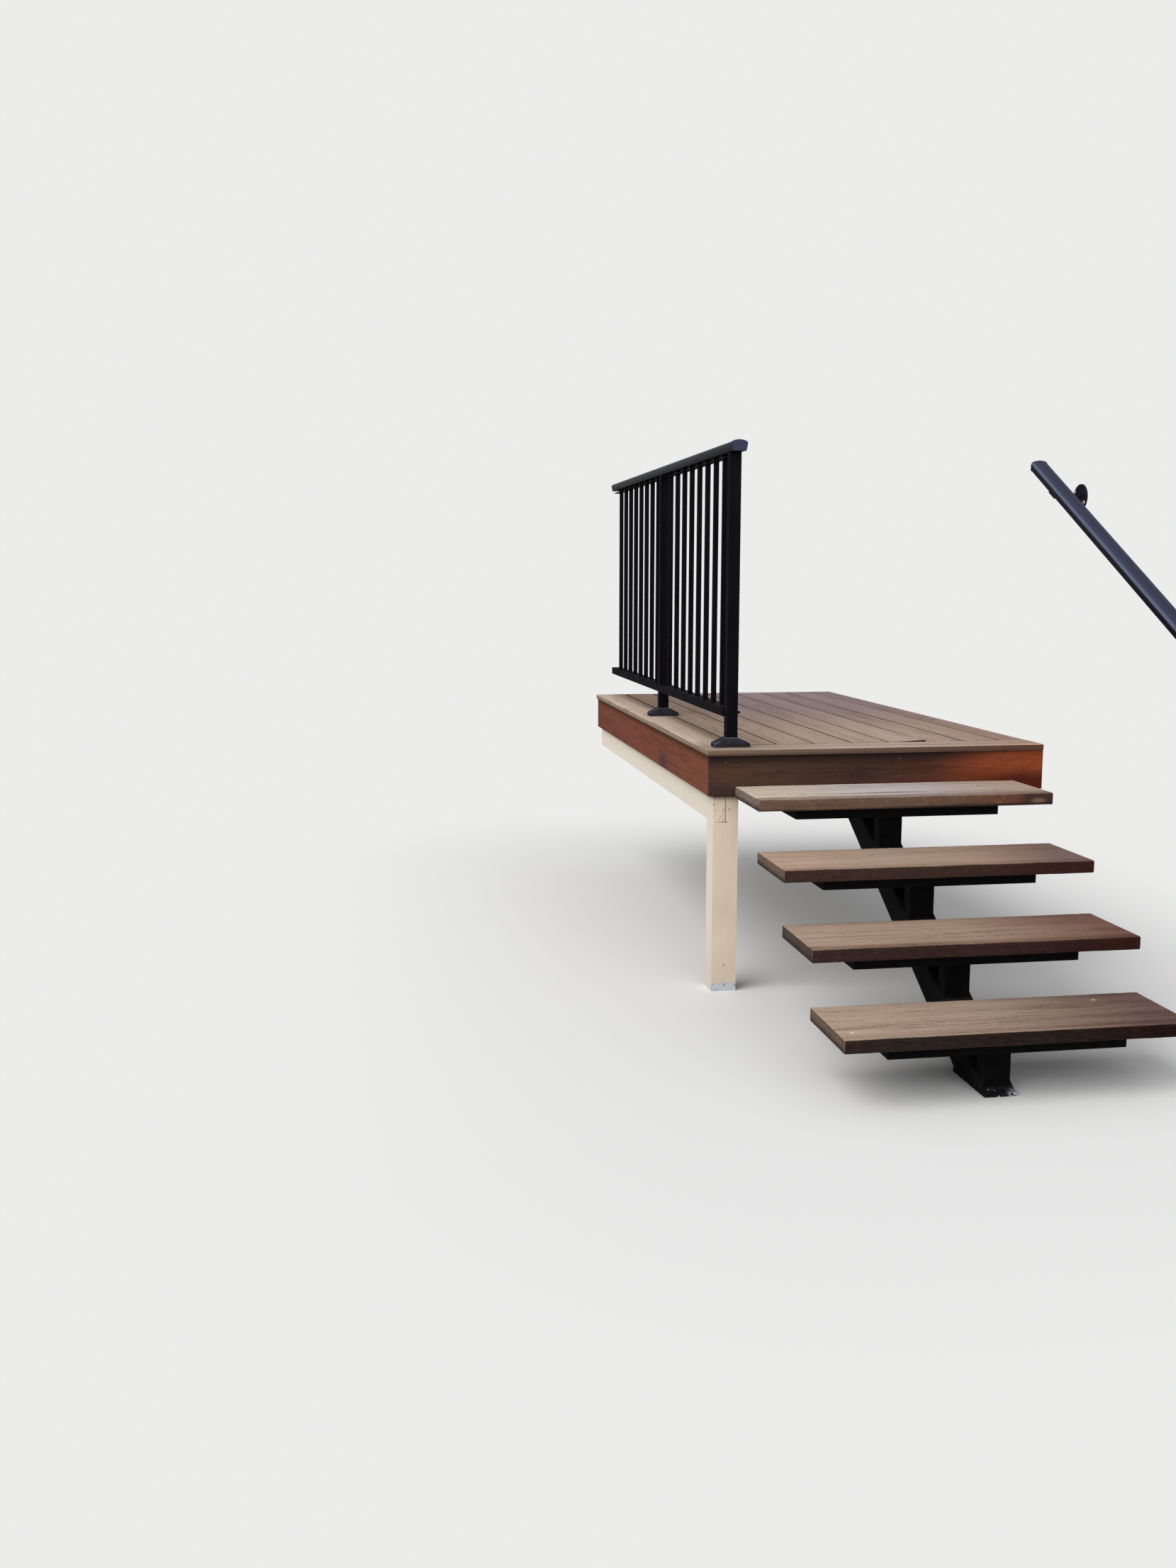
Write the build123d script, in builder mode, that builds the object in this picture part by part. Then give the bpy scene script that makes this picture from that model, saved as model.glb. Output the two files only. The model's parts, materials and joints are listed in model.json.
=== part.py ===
from build123d import *
import os
from math import atan2, cos, radians, sin

os.makedirs("parts", exist_ok=True)

# Timber entry steps with a landing, built against two walls of a house: four open hardwood treads on
# one steel stringer, a boarded deck on joists, a notched corner post, a balustrade and a wall rail.
# Millimetres. X runs into the right-hand wall, Y towards the back wall, Z up. The origin is the
# middle of the wall bearer's face on the right-hand wall.

# Deck
deck_height = 821
deck_width = 1170
deck_depth = 2272
board_width = 137
board_thickness = 19
board_gap = 4
front_overhang = 12
side_overhang = 8
board_round = 2.5
mitre_gap = 1.5
wall_gap = 5
narrowest_rip = 20

# Timber framing
fascia_thickness = 19
fascia_depth = 135
joist_thickness = 45
joist_depth = 140
joist_bays = 5
beam_thickness = 42
beam_depth = 85
corner_post_width = 85

# Treads
tread_count = 4
rise = 165
last_rise = 122
going = 280
tread_length = 970
tread_depth = 291
tread_thickness = 38
tread_round = 5
tread_wall_gap = 105
tread_fascia_gap = 1

# Steel under the treads
steel_shift = 18
stringer_width = 98
stringer_depth = 95
stringer_drop = 244
steel_wall = 5
steel_round = 8
stub_width = 80
stub_depth = 50
stub_setback = 100
carrier_length = 672
carrier_depth = 220
carrier_height = 33
carrier_plate = 5
carrier_setback = 36
base_plate_width = 94
base_plate_thickness = 12
base_plate_toe = 18
base_plate_heel = 6
top_plate_width = 120
top_plate_thickness = 10
top_plate_margin = 25

# Balustrade
rail_inset = 98
rail_height = 995
rail_width = 56
rail_depth = 35
rail_taper = 6
rail_crown_rise = 8
rail_shoulder_round = 10
rail_foot_round = 3
rail_wall = 2.5
rail_nose = 40
cap_thickness = 4
cap_margin = 1
cap_chamfer = 1.5
baluster_post_width = 38
baluster_post_wall = 3
baluster_post_round = 2
front_post_inset = 91
bottom_rail_width = 44
bottom_rail_depth = 30
bottom_rail_clearance = 100
balusters_per_bay = 8
baluster_width = 16
strip_width = 26
strip_thickness = 3
strip_drop = 8
cover_length = 120
cover_breadth = 56
cover_rim = 14
cover_height = 33
cover_collar = 3
slip_fit = 0.3

# Wall handrail
handrail_offset = 85
handrail_height = 917
handrail_pitch = 29.5
handrail_setback = 41
handrail_lower_reach = 60
bracket_count = 2
bracket_end_margin = 165
bracket_plate_diameter = 82
bracket_plate_thickness = 7
bracket_plate_chamfer = 2
bracket_screw_spacing = 70
bracket_screw_diameter = 6
bracket_arm_diameter = 14
bracket_arm_sink = 1.5
bracket_arm_end = 2
saddle_length = 48
saddle_width = 40
saddle_thickness = 5

# Levels and lines that follow from the sizes above
ground = -(deck_height - board_thickness - joist_depth / 2)
deck_top = ground + deck_height
joist_top = deck_top - board_thickness
joist_base = joist_top - joist_depth
frame_left = -(deck_width - side_overhang - fascia_thickness)
frame_length = deck_depth - front_overhang - fascia_thickness
house_y = frame_length / 2
frame_front = -frame_length / 2
nosing_left = -deck_width
nosing_front = house_y - deck_depth
fascia_front = frame_front - fascia_thickness
stair_x = -(tread_wall_gap + tread_length / 2)
steel_x = stair_x - steel_shift
pitch = atan2(rise, going)
slope = rise / going


def tread_front(number):
    """Y of a tread's front edge, with tread 1 at the bottom."""
    return fascia_front - tread_fascia_gap - tread_depth - (tread_count - number) * going


def tread_top(number):
    """Z of a tread's upper face."""
    return deck_top - last_rise - (tread_count - number) * rise


def stringer_top(y):
    """Z of the stringer's upper face at y."""
    return tread_top(1) - stringer_drop + slope * (y - tread_front(1))


def on_stringer(z, below_top):
    """Y where a line a given depth below the stringer's upper face reaches the level z."""
    return tread_front(1) + (z + below_top / cos(pitch) - tread_top(1) + stringer_drop) / slope


# Boarded deck
with BuildPart() as left_border_board:
    with BuildSketch(Plane.XY.offset(joist_top)):
        with BuildLine():
            Polyline(
                (nosing_left, house_y - wall_gap),
                (nosing_left, nosing_front),
                (nosing_left + board_width, nosing_front + board_width),
                (nosing_left + board_width, house_y - wall_gap),
                close=True,
            )
        make_face()
    extrude(amount=board_thickness)
    fillet(left_border_board.edges().filter_by(Axis.Y).group_by(Axis.Z)[-1], board_round)
left_border_board.part.label = "left_border_board"
export_step(left_border_board.part, "parts/left_border_board.step")

with BuildPart() as front_border_board:
    with BuildSketch(Plane.XY.offset(joist_top)):
        with BuildLine():
            Polyline(
                (nosing_left + mitre_gap, nosing_front),
                (-wall_gap, nosing_front),
                (-wall_gap, nosing_front + board_width),
                (nosing_left + mitre_gap + board_width, nosing_front + board_width),
                close=True,
            )
        make_face()
    extrude(amount=board_thickness)
    fillet(front_border_board.edges().filter_by(Axis.X).group_by(Axis.Z)[-1], board_round)
front_border_board.part.label = "front_border_board"
export_step(front_border_board.part, "parts/front_border_board.step")

field_front = nosing_front + board_width + board_gap
field_length = house_y - wall_gap - field_front
with BuildPart() as field_boards:
    board_x = nosing_left + board_width + board_gap
    while -wall_gap - board_x > narrowest_rip:
        width = min(board_width, -wall_gap - board_x)
        with Locations((board_x, field_front, joist_top)):
            Box(width, field_length, board_thickness, align=(Align.MIN, Align.MIN, Align.MIN))
        board_x += board_width + board_gap
    fillet(field_boards.edges().filter_by(Axis.Y).group_by(Axis.Z)[-1], board_round)
field_boards.part.label = "field_boards"
export_step(field_boards.part, "parts/field_boards.step")

# Fascias
with BuildPart() as front_fascia:
    with Locations((frame_left - fascia_thickness, frame_front, joist_top)):
        Box(
            -frame_left + fascia_thickness,
            fascia_thickness,
            fascia_depth,
            align=(Align.MIN, Align.MAX, Align.MAX),
        )
front_fascia.part.label = "front_fascia"
export_step(front_fascia.part, "parts/front_fascia.step")

with BuildPart() as left_fascia:
    with Locations((frame_left, frame_front, joist_top)):
        Box(
            fascia_thickness,
            frame_length,
            fascia_depth,
            align=(Align.MAX, Align.MIN, Align.MAX),
        )
left_fascia.part.label = "left_fascia"
export_step(left_fascia.part, "parts/left_fascia.step")

# Joists, from over the outer beam to the face of the wall bearer
joist_length = -frame_left - beam_thickness
joist_spacing = (frame_length - joist_thickness) / joist_bays
stringer_head = (on_stringer(joist_base, 0) + on_stringer(joist_base, stringer_depth)) / 2
joist_centres = {
    "front_rim_joist": frame_front + joist_thickness / 2,
    "trimmer_joist": stringer_head,
    "back_joist": house_y - joist_thickness / 2,
}
for i in range(1, joist_bays):
    joist_centres[f"joist_{i}"] = joist_centres["front_rim_joist"] + i * joist_spacing
for name, y in joist_centres.items():
    with BuildPart() as joist:
        with Locations((frame_left, y, joist_base)):
            Box(
                joist_length,
                joist_thickness,
                joist_depth,
                align=(Align.MIN, Align.CENTER, Align.MIN),
            )
    joist.part.label = name
    export_step(joist.part, f"parts/{name}.step")

# Outer beam, let into the corner post, and the bearer on the wall that carries the joists' other ends
with BuildPart() as outer_beam:
    with Locations((frame_left, frame_front, joist_base)):
        Box(beam_thickness, frame_length, beam_depth, align=(Align.MIN, Align.MIN, Align.MAX))
outer_beam.part.label = "outer_beam"
export_step(outer_beam.part, "parts/outer_beam.step")

with BuildPart() as wall_bearer:
    Box(beam_thickness, frame_length, joist_depth, align=(Align.MAX, Align.CENTER, Align.CENTER))
wall_bearer.part.label = "wall_bearer"
export_step(wall_bearer.part, "parts/wall_bearer.step")

with BuildPart() as corner_post:
    with Locations((frame_left, frame_front, ground)):
        Box(
            corner_post_width,
            corner_post_width,
            joist_base - ground,
            align=(Align.MIN, Align.MIN, Align.MIN),
        )
    with Locations((frame_left, frame_front, joist_base)):
        Box(
            beam_thickness,
            corner_post_width,
            beam_depth,
            align=(Align.MIN, Align.MIN, Align.MAX),
            mode=Mode.SUBTRACT,
        )
corner_post.part.label = "corner_post"
export_step(corner_post.part, "parts/corner_post.step")

# Treads, each on a folded steel tray carried by a short upright stub
for number in range(1, tread_count + 1):
    front = tread_front(number)
    top = tread_top(number)
    underside = top - tread_thickness

    with BuildPart() as tread:
        with Locations((stair_x, front, top)):
            Box(
                tread_length,
                tread_depth,
                tread_thickness,
                align=(Align.CENTER, Align.MIN, Align.MAX),
            )
        fillet(tread.edges().filter_by(Axis.X), tread_round)
    tread.part.label = f"tread_{number}"
    export_step(tread.part, f"parts/tread_{number}.step")

    with BuildPart() as carrier:
        tray = Plane((steel_x, front + carrier_setback + carrier_depth / 2, underside - carrier_height))
        with BuildSketch(tray):
            RectangleRounded(carrier_length, carrier_depth, carrier_plate)
        extrude(amount=carrier_height)
        with BuildSketch(tray):
            Rectangle(carrier_length - 2 * carrier_plate, carrier_depth - 2 * carrier_plate)
        extrude(amount=carrier_height - carrier_plate, mode=Mode.SUBTRACT)
    carrier.part.label = f"tread_carrier_{number}"
    export_step(carrier.part, f"parts/tread_carrier_{number}.step")

    with BuildPart() as stub:
        with BuildSketch(Plane.XY.offset(stringer_top(front))):
            with Locations((steel_x, front + stub_setback + stub_depth / 2)):
                RectangleRounded(stub_width, stub_depth, steel_round)
                RectangleRounded(
                    stub_width - 2 * steel_wall,
                    stub_depth - 2 * steel_wall,
                    steel_round - steel_wall,
                    mode=Mode.SUBTRACT,
                )
        extrude(amount=underside - carrier_plate - stringer_top(front))
        foot = Plane((steel_x, front, stringer_top(front)), z_dir=(0, -sin(pitch), cos(pitch)))
        split(bisect_by=foot, keep=Keep.TOP)
    stub.part.label = f"tread_stub_{number}"
    export_step(stub.part, f"parts/tread_stub_{number}.step")

# Stringer: one box section, cut level on its base plate and under its top plate
foot_level = ground + base_plate_thickness
head_level = joist_base - top_plate_thickness
toe_y = on_stringer(foot_level, 0)
heel_y = on_stringer(foot_level, stringer_depth)
head_front_y = on_stringer(head_level, 0)
head_back_y = on_stringer(head_level, stringer_depth)
axis_y = toe_y - stringer_depth
axis_z = stringer_top(axis_y) - stringer_depth / 2 / cos(pitch)
section = Plane(
    (steel_x, axis_y, axis_z),
    x_dir=(1, 0, 0),
    z_dir=(0, cos(pitch), sin(pitch)),
)
with BuildPart() as stringer:
    with BuildSketch(section):
        RectangleRounded(stringer_width, stringer_depth, steel_round)
        RectangleRounded(
            stringer_width - 2 * steel_wall,
            stringer_depth - 2 * steel_wall,
            steel_round - steel_wall,
            mode=Mode.SUBTRACT,
        )
    extrude(amount=(head_back_y - axis_y) / cos(pitch) + stringer_depth)
    split(bisect_by=Plane.XY.offset(head_level), keep=Keep.BOTTOM)
    split(bisect_by=Plane.XY.offset(foot_level), keep=Keep.TOP)
stringer.part.label = "stringer"
export_step(stringer.part, "parts/stringer.step")

with BuildPart() as base_plate:
    with Locations((steel_x, toe_y - base_plate_toe, ground)):
        Box(
            base_plate_width,
            heel_y - toe_y + base_plate_toe + base_plate_heel,
            base_plate_thickness,
            align=(Align.CENTER, Align.MIN, Align.MIN),
        )
base_plate.part.label = "stringer_base_plate"
export_step(base_plate.part, "parts/stringer_base_plate.step")

with BuildPart() as top_plate:
    with Locations((steel_x, head_front_y - top_plate_margin, head_level)):
        Box(
            top_plate_width,
            head_back_y - head_front_y + 2 * top_plate_margin,
            top_plate_thickness,
            align=(Align.CENTER, Align.MIN, Align.MIN),
        )
top_plate.part.label = "stringer_top_plate"
export_step(top_plate.part, "parts/stringer_top_plate.step")

# Balustrade posts and their cast base covers
rail_x = nosing_left + rail_inset
rail_top = deck_top + rail_height
rail_base = rail_top - rail_depth
front_post_y = nosing_front + front_post_inset
mid_post_y = (front_post_y + house_y) / 2
post_bays = {"front": front_post_y, "mid": mid_post_y}


def cover_outline(width):
    """A base cover seen from one side: an upright rim, then straight slopes up to the collar."""
    half = width / 2
    collar = baluster_post_width / 2 + cover_collar
    with BuildSketch() as outline:
        with BuildLine():
            Polyline(
                (-half, 0),
                (half, 0),
                (half, cover_rim),
                (collar, cover_height),
                (-collar, cover_height),
                (-half, cover_rim),
                close=True,
            )
        make_face()
    return outline.sketch


for place, y in post_bays.items():
    with BuildPart() as baluster_post:
        with BuildSketch(Plane.XY.offset(deck_top)):
            with Locations((rail_x, y)):
                RectangleRounded(baluster_post_width, baluster_post_width, baluster_post_round)
                Rectangle(
                    baluster_post_width - 2 * baluster_post_wall,
                    baluster_post_width - 2 * baluster_post_wall,
                    mode=Mode.SUBTRACT,
                )
        extrude(amount=rail_base - deck_top)
    baluster_post.part.label = f"{place}_balustrade_post"
    export_step(baluster_post.part, f"parts/{place}_balustrade_post.step")

    with BuildPart() as cover:
        foot = (rail_x, y, deck_top)
        with BuildSketch(Plane(foot, x_dir=(1, 0, 0), z_dir=(0, -1, 0))):
            add(cover_outline(cover_length))
        extrude(amount=cover_breadth / 2, both=True)
        with BuildSketch(Plane(foot, x_dir=(0, 1, 0), z_dir=(1, 0, 0))):
            add(cover_outline(cover_breadth))
        extrude(amount=cover_length / 2, both=True, mode=Mode.INTERSECT)
        with BuildSketch(Plane.XY.offset(deck_top)):
            with Locations((rail_x, y)):
                hole = baluster_post_width + 2 * slip_fit
                Rectangle(hole, hole)
        extrude(amount=cover_height, mode=Mode.SUBTRACT)
    cover.part.label = f"{place}_post_cover"
    export_step(cover.part, f"parts/{place}_post_cover.step")


# Rails
def rail_profile(margin=0):
    """Loaf-shaped rail section standing on its own origin: domed top, sides drawn in below."""
    half = rail_width / 2 + margin
    waist = half - rail_taper
    crown = rail_depth + margin
    shoulder = crown - rail_crown_rise
    with BuildSketch() as profile:
        with BuildLine():
            Polyline((-half, shoulder), (-waist, -margin), (waist, -margin), (half, shoulder))
            ThreePointArc((half, shoulder), (0, crown), (-half, shoulder))
        make_face()
        corners = profile.vertices().sort_by(Axis.Y)
        fillet(corners[2:], rail_shoulder_round)
        fillet(profile.vertices().group_by(Axis.Y)[0], rail_foot_round)
    return profile.sketch


rail_end_y = front_post_y - baluster_post_width / 2 - rail_nose
rail_start = Plane((rail_x, house_y, rail_base), x_dir=(1, 0, 0), z_dir=(0, -1, 0))
with BuildPart() as top_rail:
    with BuildSketch(rail_start):
        add(rail_profile())
        offset(amount=-rail_wall, mode=Mode.SUBTRACT)
    extrude(amount=house_y - rail_end_y)
top_rail.part.label = "top_rail"
export_step(top_rail.part, "parts/top_rail.step")

with BuildPart() as end_cap:
    with BuildSketch(rail_start.offset(house_y - rail_end_y)):
        add(rail_profile(cap_margin))
    extrude(amount=cap_thickness)
    chamfer(end_cap.faces().sort_by(Axis.Y)[0].edges(), cap_chamfer)
end_cap.part.label = "top_rail_end_cap"
export_step(end_cap.part, "parts/top_rail_end_cap.step")

bottom_rail_base = deck_top + bottom_rail_clearance
bottom_rail_top = bottom_rail_base + bottom_rail_depth
rail_back_of_post = front_post_y + baluster_post_width / 2
with BuildPart() as bottom_rail:
    with Locations((rail_x, rail_back_of_post, bottom_rail_base)):
        Box(
            bottom_rail_width,
            house_y - rail_back_of_post,
            bottom_rail_depth,
            align=(Align.CENTER, Align.MIN, Align.MIN),
        )
    with BuildSketch(Plane.XY.offset(bottom_rail_base)):
        with Locations((rail_x, mid_post_y)):
            Rectangle(baluster_post_width + 2 * slip_fit, baluster_post_width + 2 * slip_fit)
    extrude(amount=bottom_rail_depth, mode=Mode.SUBTRACT)
bottom_rail.part.label = "bottom_rail"
export_step(bottom_rail.part, "parts/bottom_rail.step")

# Balusters stand on the bottom rail, pass through a thin spacer strip and end under the top rail
strip_base = rail_base - strip_drop - strip_thickness
bay_ends = {"near": (front_post_y, mid_post_y), "far": (mid_post_y, house_y)}
for bay, (start, end) in bay_ends.items():
    bay_pitch = (end - start) / (balusters_per_bay + 1)
    stations = [(rail_x, start + i * bay_pitch) for i in range(1, balusters_per_bay + 1)]
    strip_start = start + baluster_post_width / 2
    strip_end = end if bay == "far" else end - baluster_post_width / 2

    with BuildPart() as balusters:
        with BuildSketch(Plane.XY.offset(bottom_rail_top)):
            with Locations(stations):
                Rectangle(baluster_width, baluster_width)
        extrude(amount=rail_base - bottom_rail_top)
    balusters.part.label = f"{bay}_bay_balusters"
    export_step(balusters.part, f"parts/{bay}_bay_balusters.step")

    with BuildPart() as strip:
        with BuildSketch(Plane.XY.offset(strip_base)):
            with Locations((rail_x, (strip_start + strip_end) / 2)):
                Rectangle(strip_width, strip_end - strip_start)
            with Locations(stations):
                Rectangle(baluster_width, baluster_width, mode=Mode.SUBTRACT)
        extrude(amount=strip_thickness)
    strip.part.label = f"{bay}_bay_spacer_strip"
    export_step(strip.part, f"parts/{bay}_bay_spacer_strip.step")

# Wall handrail on brackets screwed to the right-hand wall, falling a little less than the flight.
# Its height is measured from the line of the tread edges to its crown at the upper end.
handrail_upper_y = fascia_front - handrail_setback
handrail_lower_y = tread_front(1) - handrail_lower_reach
handrail_crown = tread_top(1) + handrail_height + slope * (handrail_upper_y - tread_front(1))
run = cos(radians(handrail_pitch))
fall = sin(radians(handrail_pitch))
handrail_length = (handrail_upper_y - handrail_lower_y) / run
handrail_start = Plane(
    (-handrail_offset, handrail_upper_y, handrail_crown - rail_depth / run),
    x_dir=(1, 0, 0),
    z_dir=(0, -run, -fall),
)
with BuildPart() as wall_handrail:
    with BuildSketch(handrail_start):
        add(rail_profile())
        offset(amount=-rail_wall, mode=Mode.SUBTRACT)
    extrude(amount=handrail_length)
wall_handrail.part.label = "wall_handrail"
export_step(wall_handrail.part, "parts/wall_handrail.step")

handrail_axis = Axis(handrail_start.origin, handrail_start.z_dir)
cap_starts = {"upper": -cap_thickness, "lower": handrail_length}
for place, start in cap_starts.items():
    with BuildPart() as handrail_cap:
        with BuildSketch(handrail_start.offset(start)):
            add(rail_profile(cap_margin))
        extrude(amount=cap_thickness)
        outer_face = handrail_cap.faces().sort_by(handrail_axis)[0 if place == "upper" else -1]
        chamfer(outer_face.edges(), cap_chamfer)
    handrail_cap.part.label = f"handrail_{place}_cap"
    export_step(handrail_cap.part, f"parts/handrail_{place}_cap.step")

bracket_run = handrail_length - 2 * bracket_end_margin
arm_below_seat = saddle_thickness + bracket_arm_diameter / 2 - bracket_arm_sink
for i in range(bracket_count):
    along = bracket_end_margin + i * bracket_run / (bracket_count - 1)
    seat = handrail_start.offset(along).origin
    arm_y = seat.Y + fall * arm_below_seat
    arm_z = seat.Z - run * arm_below_seat
    wall_face = Plane((0, arm_y, arm_z), x_dir=(0, -run, -fall), z_dir=(-1, 0, 0))
    saddle_face = Plane(seat, x_dir=(1, 0, 0), z_dir=(0, fall, -run))
    with BuildPart() as bracket:
        with BuildSketch(wall_face):
            Circle(bracket_plate_diameter / 2)
        extrude(amount=bracket_plate_thickness)
        chamfer(bracket.faces().sort_by(Axis.X)[0].edges(), bracket_plate_chamfer)
        with BuildSketch(wall_face):
            Circle(bracket_arm_diameter / 2)
        extrude(amount=handrail_offset)
        chamfer(bracket.faces().sort_by(Axis.X)[0].edges(), bracket_arm_end)
        with BuildSketch(saddle_face):
            RectangleRounded(saddle_width, saddle_length, saddle_thickness)
        extrude(amount=saddle_thickness)
        with BuildSketch(wall_face):
            with GridLocations(bracket_screw_spacing, 0, 2, 1):
                Circle(bracket_screw_diameter / 2)
        extrude(amount=bracket_plate_thickness, mode=Mode.SUBTRACT)
    bracket.part.label = f"handrail_bracket_{i + 1}"
    export_step(bracket.part, f"parts/handrail_bracket_{i + 1}.step")
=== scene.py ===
import json
import math
import random

import bmesh
import bpy
from mathutils import Matrix, Vector, noise as field


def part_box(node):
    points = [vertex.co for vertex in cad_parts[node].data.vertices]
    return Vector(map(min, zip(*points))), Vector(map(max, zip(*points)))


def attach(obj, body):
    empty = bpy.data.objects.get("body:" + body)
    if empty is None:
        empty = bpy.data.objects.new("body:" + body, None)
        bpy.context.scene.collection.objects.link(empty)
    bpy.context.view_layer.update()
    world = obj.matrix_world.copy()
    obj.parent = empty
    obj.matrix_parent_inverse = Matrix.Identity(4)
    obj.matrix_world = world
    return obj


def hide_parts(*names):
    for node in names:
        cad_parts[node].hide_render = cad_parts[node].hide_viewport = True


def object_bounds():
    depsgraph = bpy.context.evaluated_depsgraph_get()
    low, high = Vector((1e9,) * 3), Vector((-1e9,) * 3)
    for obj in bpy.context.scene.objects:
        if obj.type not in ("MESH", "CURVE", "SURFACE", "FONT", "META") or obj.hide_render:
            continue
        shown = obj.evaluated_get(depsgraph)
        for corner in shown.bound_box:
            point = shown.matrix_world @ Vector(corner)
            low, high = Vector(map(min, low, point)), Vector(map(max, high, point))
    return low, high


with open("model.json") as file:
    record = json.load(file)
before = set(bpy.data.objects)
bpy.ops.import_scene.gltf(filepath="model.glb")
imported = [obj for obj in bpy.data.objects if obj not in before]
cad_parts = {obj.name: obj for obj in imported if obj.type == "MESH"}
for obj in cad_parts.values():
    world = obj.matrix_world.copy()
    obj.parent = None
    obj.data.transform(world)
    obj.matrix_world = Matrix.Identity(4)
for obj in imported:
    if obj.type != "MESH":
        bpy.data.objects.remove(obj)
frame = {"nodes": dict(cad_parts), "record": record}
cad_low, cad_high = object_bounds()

MM = 0.001
nodes = frame["nodes"]
GROUND = cad_low.z
DECK_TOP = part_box("field_boards")[1].z
HOUSE_WALL = cad_high.y

# The photograph's camera, fitted to the brick joints of the house walls
PHOTO_HEIGHT = 2212
FOCAL_PIXELS = 2015.1
CAMERA_YAW = math.radians(8.90)
CAMERA_PITCH = math.radians(-8.27)
CAMERA_PLACE = Vector((-2.273, HOUSE_WALL - 6.781, GROUND + 1.3834))

BACKGROUND = (0.84, 0.84, 0.835)
FLOOR_TONE = (0.80, 0.80, 0.795)
BOUNCE = 0.40

# Field boards as the photograph's joints give them; the solids' boards are 8 mm wider.
# Boards are numbered from 0 at the left border.
FIELD_BOARDS = 8
BOARD_WIDTH = 129 * MM
BOARD_PITCH = 133 * MM
BOARD_EASE = 2.5 * MM
BOARD_WEAR = 0.5 * MM
BOARD_STATIONS = 36
WARPED_BOARD = 4
WARP_RISE = 5.5 * MM
WARP_REACH = 300 * MM

TREADS = (1, 2, 3, 4)
TREAD_WEAR = 4.2 * MM
TREAD_HOLLOW = 0.25 * MM
END_ROUNDING = 2.5 * MM
END_STATIONS = tuple(depth * MM for depth in (0.0, 0.4, 1.2, 2.5, 4.0))
STATION_STEP = 8 * MM

# Measures of the solids that the record doesn't give
STRINGER_SLOPE = 165 / 280
TRAY_PLATE = 5 * MM
PLATE_TOE = 18 * MM
PLATE_HEEL = 6 * MM
HANDRAIL_PITCH = math.radians(29.5)
BRACKET_PLATE = 7 * MM
BRACKET_SCREW_REACH = 35 * MM


def srgb(red, green, blue):
    """A colour given in the photograph's 0 to 255 values, as linear RGBA."""
    linear = []
    for value in (red, green, blue):
        value /= 255
        linear.append(value / 12.92 if value <= 0.04045 else ((value + 0.055) / 1.055) ** 2.4)
    return (*linear, 1.0)


# Shader building blocks. A value is a plain number, vector or colour, or another node's output,
# and the tree is the one that this output belongs to, unless it is given.
def add(tree, kind, inputs=None, **settings):
    """A shader node such as "Math"; its settings come first, since they may change its inputs."""
    made = tree.nodes.new("ShaderNode" + kind)
    for name, value in settings.items():
        setattr(made, name, value)
    for key, value in (inputs or {}).items():
        if isinstance(value, bpy.types.NodeSocket):
            tree.links.new(value, made.inputs[key])
        else:
            made.inputs[key].default_value = value
    return made


def extend(kind, inputs, **settings):
    """A shader node in the tree of the outputs that it is linked to."""
    linked = [value for value in inputs.values() if isinstance(value, bpy.types.NodeSocket)]
    return add(linked[0].id_data, kind, inputs, **settings)


def maths(operation, *values):
    return extend("Math", dict(enumerate(values)), operation=operation).outputs[0]


def chained(operation, values):
    """An operation on the first two values, then on its result and the next one."""
    result, *rest = values
    for value in rest:
        result = maths(operation, result, value)
    return result


def times(*values):
    return chained("MULTIPLY", values)


def plus(*values):
    return chained("ADD", values)


def minus(first, second):
    return maths("SUBTRACT", first, second)


def larger(first, second):
    return maths("MAXIMUM", first, second)


def vectors(operation, *values, output="Vector"):
    inputs = dict(enumerate(values))
    return extend("VectorMath", inputs, operation=operation).outputs[output]


def combine(*axes):
    return extend("CombineXYZ", dict(enumerate(axes))).outputs[0]


def split(vector):
    """A vector's x, y and z."""
    return extend("SeparateXYZ", {0: vector}).outputs[:3]


def blend(factor, first, second, mode="MIX"):
    inputs = {0: factor, 6: first, 7: second}
    return extend("Mix", inputs, data_type="RGBA", blend_type=mode).outputs[2]


def paint(colour, tone, *mask):
    """Lays a tone over a colour by the product of the mask's factors."""
    return blend(times(*mask), colour, tone)


def layers(colour, coats):
    """Paints a colour with one (tone, mask factors...) after another."""
    for tone, *mask in coats:
        colour = paint(colour, tone, *mask)
    return colour


def shade(colour, tone, *mask):
    """Multiplies a colour by a tone as far as the product of the mask's factors says."""
    return blend(times(*mask), colour, tone, "MULTIPLY")


def noise(vector, scale, detail=4.0, roughness=0.55, distortion=0.0):
    inputs = {"Vector": vector, "Scale": scale, "Detail": detail}
    inputs.update({"Roughness": roughness, "Distortion": distortion})
    return extend("TexNoise", inputs).outputs[0]


def drift(vector, scale, reach, detail=4.0):
    """A cloud around zero, to move a border of tones by up to about half the reach."""
    return times(minus(noise(vector, scale, detail), 0.5), reach)


def between(value, low, high):
    """0 below low and 1 above high, smooth between them; low may be the larger."""
    flip = low > high
    first, last = (high, low) if flip else (low, high)
    inputs = {"Value": value, "From Min": first, "From Max": last}
    inputs.update({"To Min": float(flip), "To Max": float(not flip)})
    return extend("MapRange", inputs, interpolation_type="SMOOTHSTEP").outputs[0]


def ramp(value, stops):
    """A colour ramp from (position, colour) stops."""
    made = extend("ValToRGB", {0: value})
    elements = made.color_ramp.elements
    while len(elements) < len(stops):
        elements.new(0.5)
    for element, (position, colour) in zip(elements, stops):
        element.position = position
        element.color = colour
    return made.outputs[0]


def zones(value, low, high, tones):
    """Evenly spaced tones from low to high."""
    inputs = {"Value": value, "From Min": low, "From Max": high}
    along = extend("MapRange", inputs).outputs[0]
    last = len(tones) - 1
    return ramp(along, [(i / last, tone) for i, tone in enumerate(tones)])


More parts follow.
